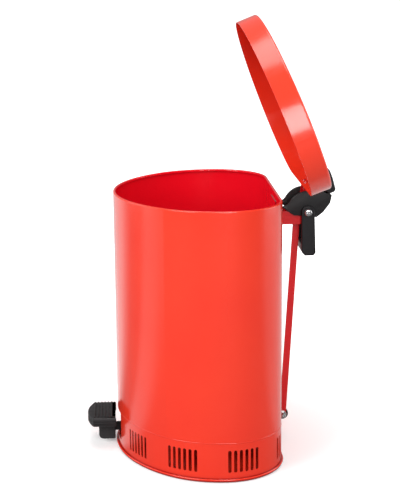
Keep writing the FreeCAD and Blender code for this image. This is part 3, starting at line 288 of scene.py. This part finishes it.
def finishPiece(name, bm, slotName, body, replaced, tilt=0.0, sharp=35):
    bmesh.ops.remove_doubles(bm, verts=bm.verts, dist=1e-7)
    bmesh.ops.recalc_face_normals(bm, faces=bm.faces)
    if tilt:
        pivot = Vector((0, hingeY, hingeZ)) * mm
        bmesh.ops.rotate(bm, verts=bm.verts, cent=pivot, matrix=Matrix.Rotation(math.radians(-tilt), 3, "X"))
    mesh = bpy.data.meshes.new(name)
    bm.to_mesh(mesh)
    bm.free()
    mesh.polygons.foreach_set("use_smooth", [True] * len(mesh.polygons))
    mesh.set_sharp_from_angle(angle=math.radians(sharp))
    mesh.materials.append(finishes[slotName])
    piece = bpy.data.objects.new(name, mesh)
    scene.collection.objects.link(piece)
    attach(piece, body)
    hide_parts(*replaced)


def aboutHinge(points):
    return [(hingeY + y, hingeZ + z) for y, z in points]


def arcPoints(y, z, radius, start, end, steps):
    turn = (end - start) / steps
    angles = [math.radians(start + turn * i) for i in range(steps + 1)]
    return [(y + radius * math.cos(angle), z + radius * math.sin(angle)) for angle in angles]


# pedal pad

padLow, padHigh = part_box("pedal_pad")
padSetup = {
    "half": padHigh.x / mm, "front": padLow.y / mm + 0.3, "low": padLow.z / mm, "top": padHigh.z / mm - 1.5,
    "sideGap": 0.5, "bow": 9.4, "frontSteps": 24, "cornerRound": 5.0, "notchRound": 1.2,
    # how far up or down from the face, and how far in
    "underEdge": ((0.0, 1.6), (0.5, 0.6), (1.6, 0.0)),
    "topEdge": ((-2.4, 0.0), (-1.5, 0.35), (-0.7, 1.1), (-0.2, 2.0), (0.0, 3.0)),
    "notchHalf": 31.0, "notchRear": -177.7, "canRadius": 224.4, "canCentre": 47.6,
    "lines": (0.30, 0.55), "ribPitch": 5.6, "ribWidth": 3.0, "ribHeight": 1.5, "ribMargin": 3.5,
    "ribSunk": 0.6, "ribDraft": 0.35, "frontGap": 1.0, "rearGap": 0.8,
    "lineHalf": 0.45, "lineFloor": 0.3, "lineDepth": 0.5,
}


def makePad(setup):
    half, front, bow = setup["half"] - setup["sideGap"], setup["front"], setup["bow"]
    steps = setup["frontSteps"]
    radius = (half ** 2 + bow ** 2) / (2 * bow)
    plan = []
    for i in range(steps + 1):
        x = -half + 2 * half * i / steps
        plan.append((x, front + radius - math.sqrt(radius ** 2 - x ** 2)))

    def canArc(x):
        return setup["canCentre"] - math.sqrt(setup["canRadius"] ** 2 - x ** 2)

    notch = setup["notchHalf"]
    plan += [
        (half, canArc(half)), (notch, canArc(notch)), (notch, setup["notchRear"]),
        (-notch, setup["notchRear"]), (-notch, canArc(notch)), (-half, canArc(half)),
    ]
    corner, notchRound = setup["cornerRound"], setup["notchRound"]
    radii = [corner] + [0.0] * (steps - 1) + [corner] + [notchRound] * 6
    plan = roundCorners(plan, radii)
    low, top = setup["low"], setup["top"]
    levels = [(low + up, depth) for up, depth in setup["underEdge"]]
    edge, floor, depth = setup["lineHalf"], setup["lineFloor"], setup["lineDepth"]
    for share in setup["lines"]:
        z = low + (top - low) * share
        levels += [(z - edge, 0.0), (z - floor, depth), (z + floor, depth), (z + edge, 0.0)]
    levels += [(top + up, depth) for up, depth in setup["topEdge"]]
    bm = bmesh.new()
    loft(bm, plan, levels, "Z")
    y, w = front + bow + setup["frontGap"], half - setup["ribMargin"]
    while y < setup["notchRear"] - setup["ribWidth"] - setup["rearGap"]:
        end, crest = y + setup["ribWidth"], top + setup["ribHeight"]
        rib = [(y, top - setup["ribSunk"]), (end, top - setup["ribSunk"])]
        rib += [(end - setup["ribDraft"], crest), (y + setup["ribDraft"], crest)]
        loft(bm, roundCorners(rib, [0.0, 0.0, 0.4, 0.4], 3), softEnds(-w, w, 0.5), "X")
        y += setup["ribPitch"]
    finishPiece("pedalPad", bm, "black_pedal", "lever", ["pedal_pad"], sharp=40)


makePad(padSetup)

# pedal block

blockLow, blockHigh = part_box("pedal_block")
blockSetup = {
    # the top reaches 0.5 into the pad
    "half": blockHigh.x / mm, "front": blockLow.y / mm, "rear": blockHigh.y / mm,
    "low": blockLow.z / mm, "top": blockHigh.z / mm + 0.5, "round": 9.0,
}


def makeBlock(setup):
    front, rear, low, top = (setup[key] for key in ("front", "rear", "low", "top"))
    side = [(front, low), (rear, low), (rear, top), (front, top)]
    side = roundCorners(side, [setup["round"], 2.5, 0.0, 0.0], 8)
    bm = bmesh.new()
    loft(bm, side, softEnds(-setup["half"], setup["half"], 1.4))
    finishPiece("pedalBlock", bm, "black_pedal", "lever", ["pedal_block", "pedal_bolts"])


makeBlock(blockSetup)
print("pedal ready")

# carry handle

handleLow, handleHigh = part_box("carry_handle")
handleSetup = {
    "half": handleHigh.x / mm, "drop": hingeZ - handleLow.z / mm, "rear": handleHigh.y / mm - hingeY,
    "armThick": 5.0, "head": 10.8, "gripThick": 17.0, "gripFront": 10.0, "gripOverlap": 1.5,
    # how far in and up the grip's lower corners are cut
    "frontCut": (5.0, 6.0), "rearCut": (3.4, 4.2),
    "edge": 1.1, "border": 1.5, "panelDepth": 0.5,
}


def makeHandle(setup):
    head, drop, rear, front = setup["head"], setup["drop"], setup["rear"], setup["gripFront"]
    (frontIn, frontUp), (rearIn, rearUp) = setup["frontCut"], setup["rearCut"]
    headArc = arcPoints(0, 0, head, 8, 176, 14)
    foot = [(-front, -drop + frontUp), (-front + frontIn, -drop)]
    foot += [(rear - rearIn, -drop), (rear, -drop + rearUp)]
    radii = [0.0] * len(headArc) + [2.5, 3.5, 3.5, 3.5]
    side = aboutHinge(roundCorners(headArc + foot, radii, 6))
    outer, inner, edge = setup["half"], setup["half"] - setup["armThick"], setup["edge"]
    bm = bmesh.new()
    for sign in (-1, 1):
        levels = softEnds(inner, outer, edge)[:-1]
        border = setup["border"]
        levels += [(outer, edge), (outer, border), (outer - setup["panelDepth"], border + 0.35)]
        loft(bm, side, [(sign * x, depth) for x, depth in levels])
    grip = [(-front, -drop + setup["gripThick"])] + foot + [(rear, -drop + setup["gripThick"])]
    reach = inner + setup["gripOverlap"]
    loft(bm, aboutHinge(roundCorners(grip, 3.0, 6)), [(-reach, 0.15), (reach, 0.15)])
    finishPiece("carryHandleGrip", bm, "black_handle", "handle", ["carry_handle"])


makeHandle(handleSetup)
print("handle ready")

# hinge housing

housingLow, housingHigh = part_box("hinge_housing")
housingSetup = {
    "half": housingHigh.x / mm, "reach": housingHigh.y / mm - hingeY, "lug": hingeY - housingLow.y / mm,
    "drop": 9.0, "rise": 27.0, "drum": 35.0, "wall": 2.5, "edge": 1.0,
    # each rib's angle and how far out it ends
    "ribs": ((4, 25.5), (11, 29.0), (18, 33.0), (25, 37.0), (32, 40.0)),
    "ribStart": 15.0, "ribWide": 1.2, "ribSunk": 0.5, "ribProud": 0.45, "ribSoft": 0.15,
    "bandInset": 0.6,
}


def makeHousing(setup):
    reach, rise, drop = setup["reach"], setup["rise"], setup["drop"]
    drum, wall, half = setup["drum"], setup["wall"], setup["half"]
    back = [(reach * 0.37, -drop), (reach * 0.65, -drop * 0.05), (reach * 0.93, rise * 0.53), (reach, rise)]
    outline = [(-drum * 0.63, -drop * 0.55)] + back + [(reach * 0.88, rise * 1.08), (reach * 0.45, rise * 1.35)]
    drumPoints = arcPoints(0, 0, drum, 85, 153, 10)
    lug = setup["lug"]
    outline += drumPoints + [(-drum * 0.985, rise * 0.46), (-lug, rise * 0.38), (-lug, rise * 0.28)]
    radii = [3.0, 5.0, 9.0, 16.0, 2.5, 5.0, 9.0] + [0.0] * len(drumPoints) + [1.5, 0.9, 1.2]
    side = aboutHinge(roundCorners(outline, radii, 6))
    bm = bmesh.new()
    for sign in (-1, 1):
        loft(bm, side, [(sign * x, depth) for x, depth in softEnds(half - wall, half, setup["edge"])])
    for angle, reachOut in setup["ribs"]:
        # short raised ribs that fan out from the hinge
        turn, w = math.radians(angle), setup["ribWide"] / 2
        along, across = Vector((math.cos(turn), math.sin(turn))), Vector((-math.sin(turn), math.cos(turn)))
        near, far = along * setup["ribStart"], along * reachOut
        ends = [near - across * w, far - across * w, far + across * w, near + across * w]
        rib = aboutHinge(roundCorners([tuple(end) for end in ends], 0.4, 3))
        root, face, soft = half - setup["ribSunk"], half + setup["ribProud"], setup["ribSoft"]
        for sign in (-1, 1):
            levels = [(root, 0.0), (face - soft, 0.0), (face, soft)]
            loft(bm, rib, [(sign * x, depth) for x, depth in levels])
    inner = [
        (reach - wall, rise), (reach * 0.93 - wall, rise * 0.53 + wall * 0.4),
        (reach * 0.65 - wall * 1.2, wall * 0.6), (reach * 0.37 - wall, -drop * 0.5),
    ]
    band = back + [(reach - wall * 0.6, rise + 1.0)] + inner + [(reach * 0.37 - wall, -drop + 0.4)]
    bandHalf = half - setup["bandInset"]
    loft(bm, aboutHinge(roundCorners(band, 4.0, 5)), [(-bandHalf, 0.0), (bandHalf, 0.0)])
    finishPiece("hingeHousing", bm, "black_plastic", "can", ["hinge_housing"])


makeHousing(housingSetup)

# hood on the lid

hoodLow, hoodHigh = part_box("hinge_hood")
hoodSetup = {
    # drawn as on the closed lid, about the hinge, then opened with it
    "half": hoodHigh.x / mm, "opening": 68.4, "seat": 41.8, "back": -43.0, "radius": 45.5,
    "length": 49.5, "rise": 16.0, "wall": 2.5, "edge": 1.3, "bandInset": 0.7,
}


def makeHood(setup):
    radius, seat, rise = setup["radius"], setup["seat"], setup["rise"]
    length, wall, half = setup["length"], setup["wall"], setup["half"]
    end = -radius * 0.34
    start = end - length
    angles = [math.radians(angle) for angle in (54, 58, 62, 66, 70)]
    arc = [(-radius * math.cos(angle), radius * math.sin(angle)) for angle in angles]
    heel = [(setup["back"], seat), (setup["back"], radius * 0.48), (-radius * 0.877, radius * 0.48)]
    outline = [(start, seat)] + heel + arc
    crown = [
        (end, seat + rise * 0.65), (end - 3, seat + rise * 0.86), (end - length * 0.45, seat + rise),
        (start + length * 0.3, seat + rise), (start + length * 0.1, seat + rise * 0.82),
        (start, seat + rise * 0.6),
    ]
    outline += crown
    radii = [0.0, 0.3, 0.3, 0.6] + [0.0] * 5 + [2.0, 6.0, 20.0, 14.0, 6.0, 3.0]
    side = aboutHinge(roundCorners(outline, radii, 6))
    bm = bmesh.new()
    for sign in (-1, 1):
        loft(bm, side, [(sign * x, depth) for x, depth in softEnds(half - wall, half, setup["edge"])])
    inside = [
        (start + wall, seat + rise * 0.6 - wall * 0.7),
        (start + length * 0.1 + wall * 0.5, seat + rise * 0.82 - wall),
        (start + length * 0.3, seat + rise - wall), (end - length * 0.45, seat + rise - wall),
        (end - 4, seat + rise * 0.86 - wall),
    ]
    band = crown[::-1] + [(end, crown[0][1] - wall)] + inside[::-1]
    band += [(start + wall, seat), (start, seat)]
    bandHalf = half - setup["bandInset"]
    loft(bm, aboutHinge(roundCorners(band[::-1], 3.0, 5)), [(-bandHalf, 0.0), (bandHalf, 0.0)])
    finishPiece("hingeHood", bm, "black_plastic_hood", "lid", ["hinge_hood"], tilt=setup["opening"])


makeHood(hoodSetup)
print("housing and hood ready")

# seam and rolled foot round the can

ringSetup = {
    "seamHeight": 63.5, "seamProud": 0.35, "seamWide": 1.1, "seamSunk": 0.3,
    "footHeight": 4.0, "footProud": 1.9, "footRadius": 1.5,
    "frontRadius": 217.6, "frontCentre": 47.6, "sideRadius": 144.5, "sideCentre": 55.5,
    "cornerRadius": 94.0, "cornerCentre": 106.0,
}


def canPlan(setup):
    lean = math.degrees(math.atan2(setup["frontCentre"], setup["sideCentre"]))
    side, corner = (setup["sideCentre"], setup["sideRadius"]), (setup["cornerCentre"], setup["cornerRadius"])
    plan = arcPoints(corner[0], 0, corner[1], 0, 90, 20) + arcPoints(-corner[0], 0, corner[1], 90, 180, 20)
    plan += arcPoints(-side[0], 0, side[1], 180, 180 + lean, 16)[1:]
    plan += arcPoints(0, setup["frontCentre"], setup["frontRadius"], 180 + lean, 360 - lean, 60)[1:]
    plan += arcPoints(side[0], 0, side[1], 360 - lean, 360, 16)[1:-1]
    return plan


def sweepRound(bm, plan, section):
    # section is a closed loop of (outward, height)
    loops = [[(u, v, z) for u, v in insetLoop(plan, -out)] for out, z in section]
    rings = [[bm.verts.new(Vector(spot) * mm) for spot in loop] for loop in loops]
    for low, high in zip(rings, rings[1:] + rings[:1]):
        for i in range(len(low)):
            j = (i + 1) % len(low)
            bm.faces.new((low[i], low[j], high[j], high[i]))


def makeRings(setup):
    bm = bmesh.new()
    plan = canPlan(setup)
    z, wide, proud, sunk = (setup[key] for key in ("seamHeight", "seamWide", "seamProud", "seamSunk"))
    seam = [(-sunk, z - wide), (proud, z - wide * 0.4), (proud, z + wide * 0.4), (-sunk, z + wide)]
    sweepRound(bm, plan, seam)
    turns = [i * math.pi / 5 for i in range(10)]
    out, up, radius = setup["footProud"], setup["footHeight"], setup["footRadius"]
    foot = [(out + radius * math.cos(turn), up + radius * math.sin(turn)) for turn in turns]
    sweepRound(bm, plan, foot)
    bmesh.ops.recalc_face_normals(bm, faces=bm.faces)
    mesh = bpy.data.meshes.new("canSeamAndFoot")
    bm.to_mesh(mesh)
    bm.free()
    mesh.polygons.foreach_set("use_smooth", [True] * len(mesh.polygons))
    mesh.materials.append(finishes["red_paint_body"])
    piece = bpy.data.objects.new("canSeamAndFoot", mesh)
    scene.collection.objects.link(piece)
    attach(piece, "can")


makeRings(ringSetup)
print("seam and foot ready")

# studio

studio = {
    "floorHalf": 40.0, "floorLevel": -0.0006, "greySeen": 0.82, "greyLit": 0.2,
    # the floor as the camera sees it, from its glow near the bin to plain white
    "glowFrom": 0.35, "glowTo": 1.5, "glowNear": 0.24, "glowFar": 1.0,
    "worldSeen": 1.0, "worldLight": 0.34,
    # how much the floor lights the bin, by the turn round it: -X (0), -Y (0.25), +X (0.5), +Y (0.75)
    "glowRound": (
        (0.0, 0.6), (0.13, 0.85), (0.175, 0.04), (0.215, 0.03), (0.235, 0.6), (0.27, 0.6),
        (0.30, 0.03), (0.68, 0.03), (0.72, 0.35), (0.80, 0.4), (1.0, 0.6),
    ),
}

softboxes = {
    "keySoftbox": {"at": (1.6, -2.0, 1.5), "aim": (0, 0, 0.3), "wide": 1.5, "tall": 1.5, "power": 48},
    "frontWall": {"at": (-0.6, -2.4, 0.9), "aim": (0, 0, 0.35), "wide": 1.6, "tall": 2.2, "power": 14},
    "rearWall": {"at": (-0.3, 2.4, 0.9), "aim": (0, 0, 0.35), "wide": 1.6, "tall": 2.2, "power": 30},
    "topSoftbox": {"at": (-0.2, 0.1, 2.8), "aim": (0, 0, 0.3), "wide": 1.8, "tall": 1.8, "power": 40},
    "cameraFill": {"at": (2.8, 0.3, 1.3), "aim": (0, 0, 0.3), "wide": 1.4, "tall": 1.4, "power": 54},
}


def makeFloor(setup):
    mesh = bpy.data.meshes.new("studioFloor")
    h, z = setup["floorHalf"], setup["floorLevel"]
    mesh.from_pydata([(-h, -h, z), (h, -h, z), (h, h, z), (-h, h, z)], [], [(0, 1, 2, 3)])
    floor = bpy.data.objects.new("studioFloor", mesh)
    scene.collection.objects.link(floor)
    mat, tree, shader = newMaterial("paleFloor")
    rays = addNode(tree, "ShaderNodeLightPath").outputs["Is Camera Ray"]
    seen, lit = setup["greySeen"], setup["greyLit"]
    grey = mixColour(tree, rays, (lit, lit, lit, 1), (seen, seen, seen, 1))
    tree.links.new(grey, shader.inputs["Base Color"])
    at = addNode(tree, "ShaderNodeNewGeometry").outputs["Position"]
    away = addNode(tree, "ShaderNodeVectorMath", {0: at}, operation="LENGTH").outputs["Value"]
    glowSeen = ramp(tree, away, *(setup[key] for key in ("glowFrom", "glowTo", "glowNear", "glowFar")))
    parts = addNode(tree, "ShaderNodeSeparateXYZ", {0: at})
    turn = addNode(tree, "ShaderNodeMath",
                   {0: parts.outputs["Y"], 1: parts.outputs["X"]}, operation="ARCTAN2").outputs[0]
    roundGlow = addNode(tree, "ShaderNodeValToRGB", {0: ramp(tree, turn, -math.pi, math.pi)})
    stops = roundGlow.color_ramp.elements
    while len(stops) < len(setup["glowRound"]):
        stops.new(0.5)
    for stop, (where, glow) in zip(stops, setup["glowRound"]):
        stop.position = where
        stop.color = (glow, glow, glow, 1)
    strength = ramp(tree, rays, 0.0, 1.0, roundGlow.outputs["Color"], glowSeen)
    shader.inputs["Roughness"].default_value = 0.9
    shader.inputs["Emission Color"].default_value = (1, 1, 1, 1)
    tree.links.new(strength, shader.inputs["Emission Strength"])
    mesh.materials.append(mat)


def makeSoftbox(name, setup):
    data = bpy.data.lights.new(name, "AREA")
    data.shape = "RECTANGLE"
    data.size = setup["wide"]
    data.size_y = setup["tall"]
    data.energy = setup["power"]
    lamp = bpy.data.objects.new(name, data)
    scene.collection.objects.link(lamp)
    lamp.location = setup["at"]
    lamp.rotation_euler = (Vector(setup["aim"]) - Vector(setup["at"])).to_track_quat("-Z", "Y").to_euler()


def makeWorld(setup):
    world = bpy.data.worlds.new("studioWorld")
    scene.world = world
    world.use_nodes = True
    tree = world.node_tree
    rays = addNode(tree, "ShaderNodeLightPath")
    strength = ramp(tree, rays.outputs["Is Camera Ray"], 0.0, 1.0, setup["worldLight"], setup["worldSeen"])
    background = tree.nodes["Background"]
    background.inputs["Color"].default_value = (1, 1, 1, 1)
    tree.links.new(strength, background.inputs["Strength"])


makeFloor(studio)
for name, setup in softboxes.items():
    makeSoftbox(name, setup)
makeWorld(studio)
scene.view_settings.view_transform = "Standard"
print("studio ready")
